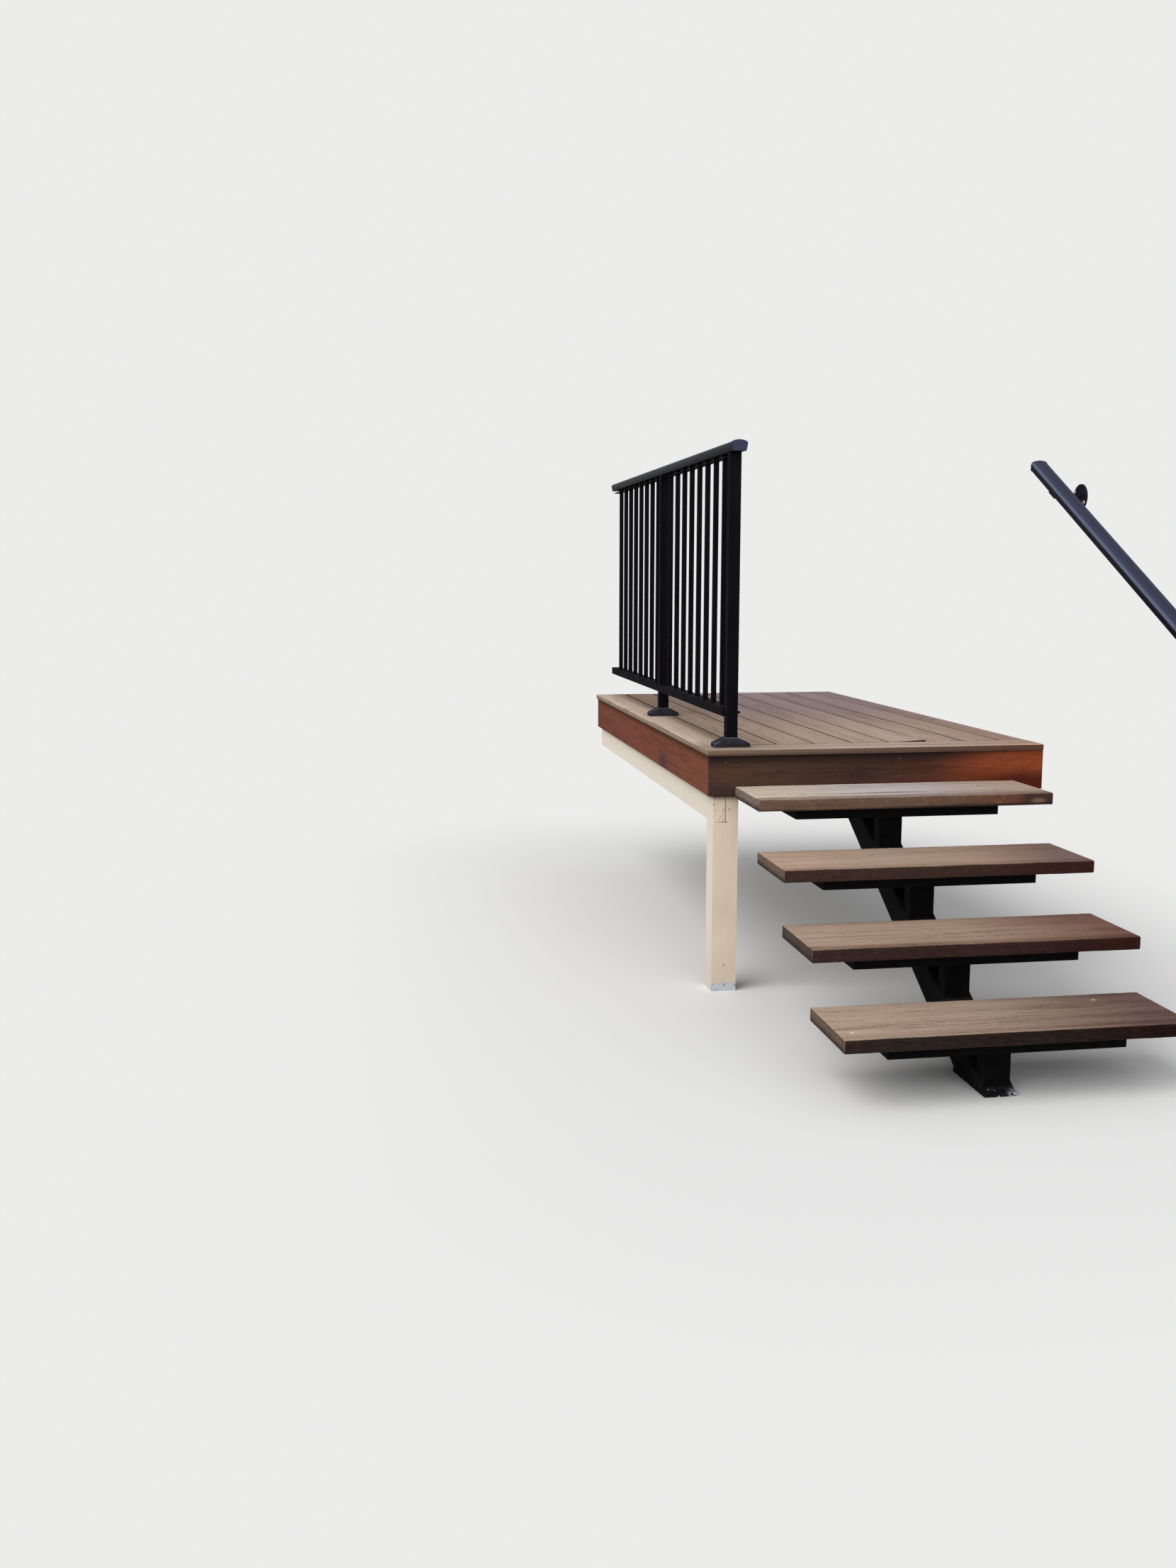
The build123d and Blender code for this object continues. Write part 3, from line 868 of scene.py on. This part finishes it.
# Where the fixings are, in metres
FRONT_NAILS = ((-1.108, 0.048), (-1.107, -0.013), (-0.511, 0.049), (-0.512, -0.009))
LEFT_NAIL_PAIRS = (-1.078, -0.50, 0.08, 0.66, 1.08)
LEFT_NAIL_HEIGHTS = (0.046, -0.044)
DECK_SCREW_ASIDE = 0.045
TRAY_SCREWS = tuple((x, y) for x in (-0.29, -0.11, 0.11, 0.29) for y in (-0.07, 0.07))
BEARER_BOLTS = (-0.86, -0.38, 0.10, 0.58, 0.98)
BACK_JOIST_BOLTS = (-0.98, -0.57, -0.16)
WELD_RADIUS = 2.6 * MM
WELD_RIPPLE = 4.5 * MM
WELD_SIDES = 8


def turned(mesh, centre, normal, profile, sides=16):
    """Adds a closed turned shape that stands on a surface."""
    turn = Vector(normal).to_track_quat("Z", "Y").to_matrix().to_4x4()
    pose = Matrix.Translation(centre) @ turn
    rings = []
    for radius, height in profile:
        count = sides if radius else 1
        angles = [2 * math.pi * i / sides for i in range(count)]
        spots = [Vector((radius * math.cos(a), radius * math.sin(a), height)) for a in angles]
        rings.append([mesh.verts.new(pose @ (spot * MM)) for spot in spots])
    mesh.faces.new(reversed(rings[0]))
    for inner, outer in zip(rings[1:], rings):
        for i in range(sides):
            after = (i + 1) % sides
            if len(inner) == 1:
                mesh.faces.new((outer[i], outer[after], inner[0]))
            else:
                mesh.faces.new((outer[i], outer[after], inner[after], inner[i]))


def skin(mesh, rings):
    """Adds a closed bar through rings of points; its two ends are its first faces."""
    rings = [[mesh.verts.new(spot) for spot in ring] for ring in rings]
    mesh.faces.new(reversed(rings[0]))
    mesh.faces.new(rings[-1])
    around = len(rings[0])
    for near, far in zip(rings, rings[1:]):
        for i in range(around):
            after = (i + 1) % around
            mesh.faces.new((near[i], near[after], far[after], far[i]))


def piece(name, mesh, material, smooth=False):
    """Turns a finished bmesh into an object that belongs to the part."""
    bmesh.ops.recalc_face_normals(mesh, faces=mesh.faces)
    for face in mesh.faces:
        face.smooth = smooth
    data = bpy.data.meshes.new(name)
    mesh.to_mesh(data)
    mesh.free()
    data.materials.append(material)
    made = bpy.data.objects.new(name, data)
    bpy.context.scene.collection.objects.link(made)
    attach(made, "root")
    return made


def add_fascia_nails(material):
    """Nail heads on the front, where they show, and in pairs along the left side."""
    mesh = bmesh.new()
    front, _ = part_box("front_fascia")
    for x, z in FRONT_NAILS:
        turned(mesh, (x, front.y, z), (0, -1, 0), NAIL, 10)
    left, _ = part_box("left_fascia")
    for y in LEFT_NAIL_PAIRS:
        for z in LEFT_NAIL_HEIGHTS:
            turned(mesh, (left.x, y, z), (-1, 0, 0), NAIL, 10)
    piece("fascia_nail_heads", mesh, material)


def board_top(number):
    """The field boards have worn to slightly different heights."""
    return DECK_TOP - number * 3 % FIELD_BOARDS / FIELD_BOARDS * BOARD_WEAR


def add_deck_screws(material):
    """Two countersunk screws where each board crosses a joist."""
    mesh = bmesh.new()
    random.seed(7)
    low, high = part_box("field_boards")
    joist_boxes = [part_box(name) for name in nodes if "joist" in name]
    joists = sorted((near.y + far.y) / 2 for near, far in joist_boxes)
    crossed = [y for y in joists if low.y + 0.015 < y < high.y - 0.015]
    for number in range(FIELD_BOARDS):
        middle = low.x + number * BOARD_PITCH + BOARD_WIDTH / 2
        for joist in crossed:
            for aside in (-DECK_SCREW_ASIDE, DECK_SCREW_ASIDE):
                x = middle + aside + random.uniform(-2, 2) * MM
                y = joist + random.uniform(-3, 3) * MM
                if x < high.x - 0.01:
                    turned(mesh, (x, y, board_top(number)), (0, 0, 1), DECK_SCREW, 12)
    piece("deck_screws", mesh, material)


def add_bracket_screws(material):
    """Two pan heads in each bracket's wall plate."""
    mesh = bmesh.new()
    for mount in frame["record"]["mounts"]:
        if mount["kind"] == "bolt_pattern":
            _, wall_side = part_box(mount["name"].removesuffix("_screws"))
            _, y, z = mount["pos_m"]
            for reach in (-BRACKET_SCREW_REACH, BRACKET_SCREW_REACH):
                spot = (
                    wall_side.x - BRACKET_PLATE,
                    y + reach * math.cos(HANDRAIL_PITCH),
                    z + reach * math.sin(HANDRAIL_PITCH),
                )
                turned(mesh, spot, (-1, 0, 0), PAN_HEAD, 20)
    piece("bracket_screws", mesh, material, smooth=True)


def add_rail_rivets(material):
    """Rivets beside each post and the end cap, and the plug over the front post's fixing hole."""
    mesh = bmesh.new()
    rail, rail_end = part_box("bottom_rail")
    level = (rail.z + rail_end.z) / 2
    for post in ("front_balustrade_post", "mid_balustrade_post"):
        low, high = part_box(post)
        for y in (low.y - 0.006, high.y + 0.006):
            if y > rail.y:
                turned(mesh, (rail.x, y, level), (-1, 0, 0), RIVET)
                turned(mesh, (rail_end.x, y, level), (1, 0, 0), RIVET)
    low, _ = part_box("front_balustrade_post")
    turned(mesh, (low.x + 0.041, low.y, level + 0.002), (0, -1, 0), PLUG)
    _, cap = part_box("top_rail_end_cap")
    rail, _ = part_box("top_rail")
    spot = (rail.x + 0.003, cap.y + 0.008, rail.z + 0.007)
    turned(mesh, spot, (-0.975, 0, -0.222), RIVET, 12)
    piece("rail_rivets_and_plugs", mesh, material, smooth=True)


def bolt(mesh, centre, normal):
    turned(mesh, centre, normal, WASHER, 24)
    turned(mesh, centre, normal, HEXAGON, 6)


def add_bolts(material):
    """Hexagon heads: coach screws up through the trays, and the masonry bolts behind the deck."""
    mesh = bmesh.new()
    for number in TREADS:
        low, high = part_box(f"tread_carrier_{number}")
        middle = (low + high) / 2
        for x, y in TRAY_SCREWS:
            bolt(mesh, (middle.x + x, middle.y + y, high.z - TRAY_PLATE), (0, 0, -1))
    low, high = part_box("wall_bearer")
    for y in BEARER_BOLTS:
        bolt(mesh, (low.x, y, (low.z + high.z) / 2 + 0.02), (-1, 0, 0))
    low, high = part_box("back_joist")
    for x in BACK_JOIST_BOLTS:
        bolt(mesh, (x, low.y, (low.z + high.z) / 2), (0, -1, 0))
    piece("bolt_heads", mesh, material)


def bead(mesh, start, end):
    """A rippled weld bead laid along a straight edge."""
    start, end = Vector(start), Vector(end)
    pose = (end - start).to_track_quat("Z", "Y").to_matrix()
    steps = max(6, round(4 * (end - start).length / WELD_RIPPLE))
    turns = [2 * math.pi * i / WELD_SIDES for i in range(WELD_SIDES)]
    rings = []
    for step in range(steps + 1):
        along = start.lerp(end, step / steps)
        swell = 0.86 + 0.14 * math.cos(math.pi * step / 2) + 0.10 * field.noise(along * 300)
        taper = min(1.0, 0.5 + 0.25 * min(step, steps - step))
        radius = WELD_RADIUS * swell * taper
        rings.append([
            along + pose @ (Vector((math.cos(a), math.sin(a), 0)) * radius) for a in turns])
    skin(mesh, rings)


def add_welds(material):
    """Beads round the head and the foot of each stub, and across the stringer's toe and heel."""
    mesh = bmesh.new()
    for number in TREADS:
        low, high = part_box(f"tread_stub_{number}")
        rise = STRINGER_SLOPE * (high.y - low.y)
        corners = ((low.x, low.y), (high.x, low.y), (high.x, high.y), (low.x, high.y))
        for (x1, y1), (x2, y2) in zip(corners, corners[1:] + corners[:1]):
            bead(mesh, (x1, y1, high.z), (x2, y2, high.z))
            foot1 = low.z + (rise if y1 == high.y else 0)
            foot2 = low.z + (rise if y2 == high.y else 0)
            bead(mesh, (x1, y1, foot1), (x2, y2, foot2))
    plate, plate_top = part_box("stringer_base_plate")
    inner, outer = plate.x + 0.001, plate_top.x - 0.001
    for y in (plate.y + PLATE_TOE, plate_top.y - PLATE_HEEL):
        bead(mesh, (inner, y, plate_top.z), (outer, y, plate_top.z))
    piece("weld_beads", mesh, material, smooth=True)


def tread_section(low, high, x):
    """Points around the tread at one station, with corners worn by uneven amounts."""
    corners = ((high.y, low.z, 270), (high.y, high.z, 0), (low.y, high.z, 90), (low.y, low.z, 180))
    turns = []
    for index, (y, z, start) in enumerate(corners):
        broad = field.noise(Vector((x * 9, index * 5.1, low.z * 3)))
        ragged = field.noise(Vector((x * 45, index * 7.3, low.z)))
        radius = max(1.2 * MM, TREAD_WEAR * (1 + 0.8 * (broad + 0.6 * ragged)))
        inward = Vector((-1 if y == high.y else 1, -1 if z == high.z else 1))
        centre = Vector((y, z)) + inward * radius
        arc = [math.radians(start + 90 * i / 4) for i in range(5)]
        turns.append([centre + radius * Vector((math.cos(a), math.sin(a))) for a in arc])
    ring = []
    for turn, following, steps in zip(turns, turns[1:] + turns[:1], (7, 26, 7, 26)):
        ring.extend(turn)
        ring.extend(turn[-1].lerp(following[0], i / steps) for i in range(1, steps))
    return ring


def add_worn_tread(number, material):
    """A tread with worn, slightly ragged arrises in place of the sharp solid."""
    name = f"tread_{number}"
    low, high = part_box(name)
    count = int((high.x - low.x - 2 * STATION_STEP) / STATION_STEP) + 1
    stations = [low.x + depth for depth in END_STATIONS]
    stations += [low.x + STATION_STEP + STATION_STEP * i for i in range(count)]
    stations += [high.x - depth for depth in reversed(END_STATIONS)]
    middle = Vector(((low.y + high.y) / 2, (low.z + high.z) / 2))
    half = Vector(((high.y - low.y) / 2, (high.z - low.z) / 2))
    rings = []
    for x in stations:
        short = max(0.0, END_ROUNDING - min(x - low.x, high.x - x))
        inset = END_ROUNDING - math.sqrt(max(0.0, END_ROUNDING ** 2 - short ** 2))
        ring = []
        for spot in tread_section(low, high, x):
            offset = spot - middle
            offset.x *= 1 - inset / half.x
            offset.y *= 1 - inset / half.y
            ripple = field.noise(Vector((x * 6, spot.x * 90, spot.y * 90)))
            spot = middle + offset * (1 - TREAD_HOLLOW * (1 + ripple) / half.length)
            ring.append((x, spot.x, spot.y))
        rings.append(ring)
    mesh = bmesh.new()
    skin(mesh, rings)
    made = piece(f"worn_{name}", mesh, material, smooth=True)
    for end in made.data.polygons[:2]:
        end.use_smooth = False
    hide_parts(name)


def board_section(left, right, bottom, top):
    """Points around a board from its lower left corner, with eased upper arrises."""
    ease = BOARD_EASE
    quarter = [math.radians(30 * i) for i in range(4)]
    arcs = [(math.cos(a), math.sin(a)) for a in quarter]
    points = [(left + (right - left) * i / 4, bottom) for i in range(5)]
    points += [(right - ease + ease * cos, top - ease + ease * sin) for cos, sin in arcs]
    points += [(right - ease - (right - left - 2 * ease) * i / 4, top) for i in range(1, 4)]
    points += [(left + ease - ease * sin, top - ease + ease * cos) for cos, sin in arcs]
    return points


def add_worn_boards(material):
    """Field boards with the photo's joints; the right front corner of one has warped up."""
    low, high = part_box("field_boards")
    random.seed(11)
    mesh = bmesh.new()
    for number in range(FIELD_BOARDS):
        left = low.x + number * BOARD_PITCH
        right = min(left + BOARD_WIDTH + random.uniform(-0.7, 0.7) * MM, high.x)
        section = board_section(left, right, low.z, board_top(number))
        lift = WARP_RISE if number == WARPED_BOARD else 0.0
        rings = []
        for station in range(BOARD_STATIONS + 1):
            y = low.y + (high.y - low.y) * station / BOARD_STATIONS
            fade = lift * max(0.0, 1 - (y - low.y) / WARP_REACH) ** 2
            rings.append([
                (x, y, z + fade * ((x - left) / (right - left)) ** 1.5) for x, z in section])
        skin(mesh, rings)
    made = piece("worn_field_boards", mesh, material)
    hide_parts("field_boards")


def add_details():
    zinc = bright_metal("zinc_screws", srgb(198, 196, 190), srgb(150, 148, 144), 0.4)
    old_nails = bright_metal("fascia_nails", srgb(146, 128, 126), srgb(104, 88, 86), 0.6)
    rusted = bright_metal("weathered_deck_screws", srgb(84, 70, 62), srgb(52, 42, 38), 0.7)
    galvanised = bright_metal("galvanised_bolts", srgb(150, 152, 154), srgb(112, 114, 116), 0.5)
    add_fascia_nails(old_nails)
    add_deck_screws(rusted)
    add_bracket_screws(zinc)
    add_rail_rivets(nodes["bottom_rail"].material_slots[0].material)
    add_bolts(galvanised)
    add_welds(nodes["stringer"].material_slots[0].material)
    add_worn_boards(nodes["field_boards"].material_slots[0].material)
    for number in TREADS:
        add_worn_tread(number, tread_wood(number))


# Dressing
def dress(material, *names):
    """Gives CAD nodes a material."""
    for name in names:
        slots = nodes[name].material_slots
        for slot in slots:
            slot.link = "OBJECT"
            slot.material = material
        if not slots:
            nodes[name].data.materials.append(material)


def dress_all(material, *starts):
    """Gives a material to each CAD node whose name starts so."""
    dress(material, *[name for name in nodes if name.startswith(starts)])


def dress_frame():
    dress(deck_boards(), "field_boards")
    dress(left_border_wood(), "left_border_board")
    dress(front_border_wood(), "front_border_board")
    dress(front_fascia_wood(), "front_fascia")
    dress(left_fascia_wood(), "left_fascia")
    joists = framing_wood("joist_wood", "x", 120.0)
    dress_all(joists, "joist", "trimmer_joist", "back_joist")
    dress(shaded_rim_joist_wood(), "front_rim_joist")
    dress(framing_wood("bearer_wood", "y", 140.0), "wall_bearer")
    dress(cream_paint(), "outer_beam", "corner_post")
    dress_all(black_steel(), "stringer", "tread_carrier", "tread_stub")
    dress(cast_cover(), "front_post_cover", "mid_post_cover")
    dress(top_rail_coat(), "top_rail")
    dress(end_cap_coat(), "top_rail_end_cap")
    dress(handrail_coat(), "wall_handrail", "handrail_upper_cap", "handrail_lower_cap")
    coat = black_coat("black_powder_coat", srgb(9, 7, 11), srgb(15, 13, 19))
    dress(coat, "bottom_rail", "front_balustrade_post", "mid_balustrade_post")
    dress_all(coat, "near_bay", "far_bay")
    dress_all(black_coat("bracket_powder_coat", srgb(24, 22, 32), srgb(34, 32, 44)),
              "handrail_bracket")


# Stage, light and camera
def seen_directly(tree):
    """1 for the camera, for reflections and through glass, and 0 for light that bounces."""
    rays = add(tree, "LightPath").outputs
    seen = larger(rays["Is Camera Ray"], rays["Is Glossy Ray"])
    return larger(seen, rays["Is Transmission Ray"])


def backdrop_mix(tree, seen, first, kind):
    """A shader that turns into the pale backdrop's plain tone where seen is 1."""
    pale = add(tree, kind, {"Color": (*BACKGROUND, 1), "Strength": 1.0}).outputs[0]
    return add(tree, "MixShader", {0: seen, 1: first, 2: pale}).outputs[0]


def make_floor():
    """A pale floor that keeps the shadow near the object and is plain backdrop farther out."""
    bpy.ops.mesh.primitive_circle_add(
        vertices=96, radius=60, fill_type="NGON", location=(0, 0, GROUND))
    floor = bpy.context.object
    floor.name = "floor"
    material, tree, shader = new_material("pale_floor")
    seen = seen_directly(tree)
    colour = blend(seen, (BOUNCE, BOUNCE, BOUNCE, 1), (*FLOOR_TONE, 1))
    connect(shader, colour=colour)
    shader.inputs["Roughness"].default_value = 0.95
    shader.inputs["Specular IOR Level"].default_value = 0.1
    middle = (cad_low + cad_high) / 2
    half = (cad_high - cad_low) / 2
    offset = vectors("SUBTRACT", where(tree), (middle.x, middle.y, 0))
    offset = vectors("ABSOLUTE", offset)
    offset = vectors("SUBTRACT", offset, (half.x, half.y, 0))
    offset = vectors("MAXIMUM", offset, (0, 0, 0))
    distance = vectors("LENGTH", offset, output="Value")
    far = times(between(distance, 0.25, 1.7), seen)
    mixed = backdrop_mix(tree, far, shader.outputs[0], "Emission")
    tree.links.new(mixed, tree.nodes["Material Output"].inputs["Surface"])
    floor.data.materials.append(material)


def make_world():
    """Light from the sky is brighter overhead; the camera and reflections see the backdrop."""
    world = bpy.data.worlds.new("studio")
    bpy.context.scene.world = world
    world.use_nodes = True
    tree = world.node_tree
    tree.nodes.clear()
    height = split(add(tree, "TexCoord").outputs["Generated"])[2]
    sky = ramp(height, [(0.0, (0.40, 0.40, 0.41, 1)), (1.0, (0.96, 0.97, 1.0, 1))])
    light = add(tree, "Background", {"Color": sky, "Strength": 0.55}).outputs[0]
    mixed = backdrop_mix(tree, seen_directly(tree), light, "Background")
    output = add(tree, "OutputWorld")
    tree.links.new(mixed, output.inputs["Surface"])


def soft_sun(name, towards, strength, angle, colour=(1, 1, 1)):
    """A wide sun lamp; towards points from the object to the light."""
    data = bpy.data.lights.new(name, "SUN")
    data.energy = strength
    data.angle = math.radians(angle)
    data.color = colour
    lamp = bpy.data.objects.new(name, data)
    bpy.context.scene.collection.objects.link(lamp)
    lamp.rotation_euler = Vector(towards).to_track_quat("Z", "Y").to_euler()


def make_lights():
    soft_sun("key", (-0.62, -0.36, 0.70), 2.1, 50, (1.0, 0.99, 0.97))
    soft_sun("front", (0.05, -0.95, 0.30), 1.1, 60)


def make_camera():
    data = bpy.data.cameras.new("camera")
    data.sensor_fit = "AUTO"
    data.sensor_width = 36.0
    data.lens = data.sensor_width * FOCAL_PIXELS / PHOTO_HEIGHT
    data.clip_start = 0.05
    data.clip_end = 200
    camera = bpy.data.objects.new("camera", data)
    bpy.context.scene.collection.objects.link(camera)
    forward = Vector((
        math.sin(CAMERA_YAW) * math.cos(CAMERA_PITCH),
        math.cos(CAMERA_YAW) * math.cos(CAMERA_PITCH),
        math.sin(CAMERA_PITCH),
    ))
    camera.location = CAMERA_PLACE
    camera.rotation_euler = forward.to_track_quat("-Z", "Y").to_euler()
    bpy.context.scene.camera = camera


bpy.context.scene.view_settings.view_transform = "Standard"
make_camera()
make_floor()
make_world()
make_lights()
dress_frame()
add_details()
